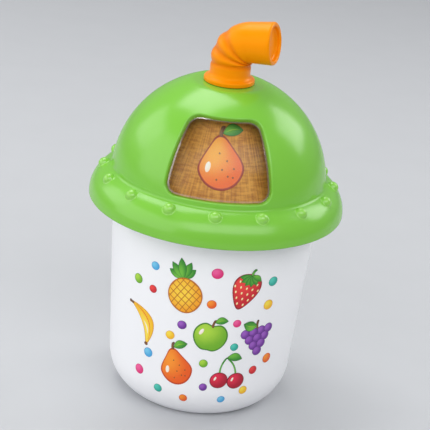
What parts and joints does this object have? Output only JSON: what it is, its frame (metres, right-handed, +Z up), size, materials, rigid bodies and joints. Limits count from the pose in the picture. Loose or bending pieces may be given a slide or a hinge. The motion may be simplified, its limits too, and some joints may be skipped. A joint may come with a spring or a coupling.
{
  "type": "toy smoothie cup",
  "caption": "Toddler's toy smoothie cup: milky rounded tumbler under a green dome lid, with a clear window onto a drum of pictures that the ribbed orange straw turns.",
  "frame": {"origin": "on the cup's axis, in the plane of the floor under its foot ring", "axes": "+Z up along the cup's axis; the window and the cup's printed front face -Y; the straw points to +X at rest"},
  "size_m": [0.11, 0.11, 0.1711],
  "materials": {
    "cup_milky": "translucent milky white, satin gloss",
    "lid_green": "glossy lime green",
    "straw_orange": "glossy orange",
    "window_clear": "clear, polished",
    "base_white": "fine satin",
    "inner_white": "plain moulded",
    "bush_natural": "plain moulded, low friction",
    "switch_grey": "plain moulded",
    "picture_card": "printed card with a clear coat",
    "screw_steel": "zinc plated",
    "spring_steel": "nickel plated strip",
    "cell_jacket": "plain printed jacket",
    "board_green": "solder mask",
    "chip_black": "moulded resin",
    "led_clear": "clear resin",
    "cone_paper": "pressed paper",
    "magnet_iron": "plain",
    "lead_red": "insulated flexible lead"
  },
  "bodies": {
    "shell": {"cup_shell": "cup_milky", "base_cover": "base_white", "base_screws": "screw_steel", "battery_cells": "cell_jacket", "battery_contacts": "spring_steel", "switch_body": "switch_grey", "main_board": "board_green", "board_screws": "screw_steel", "board_chips": "chip_black", "light_leds": "led_clear", "speaker_basket": "screw_steel", "speaker_cone": "cone_paper", "speaker_magnet": "magnet_iron", "speaker_clamp": "inner_white", "speaker_screws": "screw_steel", "lid_shell": "lid_green", "window_lens": "window_clear", "top_bush": "bush_natural", "drum_deck": "lid_green", "deck_screws": "screw_steel", "deck_bush": "bush_natural", "encoder_board": "board_green", "encoder_screws": "screw_steel", "detent_leaf": "spring_steel", "leaf_screw": "screw_steel", "speaker_leads": "lead_red", "encoder_leads": "lead_red"},
    "spinner": {"straw": "straw_orange", "picture_drum": "inner_white", "picture_band": "picture_card", "drum_screw": "screw_steel", "encoder_wiper": "spring_steel", "detent_wheel": "bush_natural", "retaining_clip": "spring_steel"},
    "switch": {"switch_slider": "switch_grey"},
    "door": {"battery_door": "base_white", "door_screw": "screw_steel"}
  },
  "joints": [
    {"name": "straw_spin", "type": "hinge", "parent": "shell", "child": "spinner", "pos_m": [0, 0, 0.1424], "axis": [0, 0, 1], "continuous": true, "deforming": ["detent_leaf"]},
    {"name": "switch_slide", "type": "slide", "parent": "shell", "child": "switch", "axis": [1, 0, 0], "range_m": [0, 0.004]},
    {"name": "door_swing", "type": "hinge", "parent": "shell", "child": "door", "pos_m": [0, -0.01215, 0.0006], "axis": [-1, 0, 0], "range_deg": [0, 60]}
  ]
}
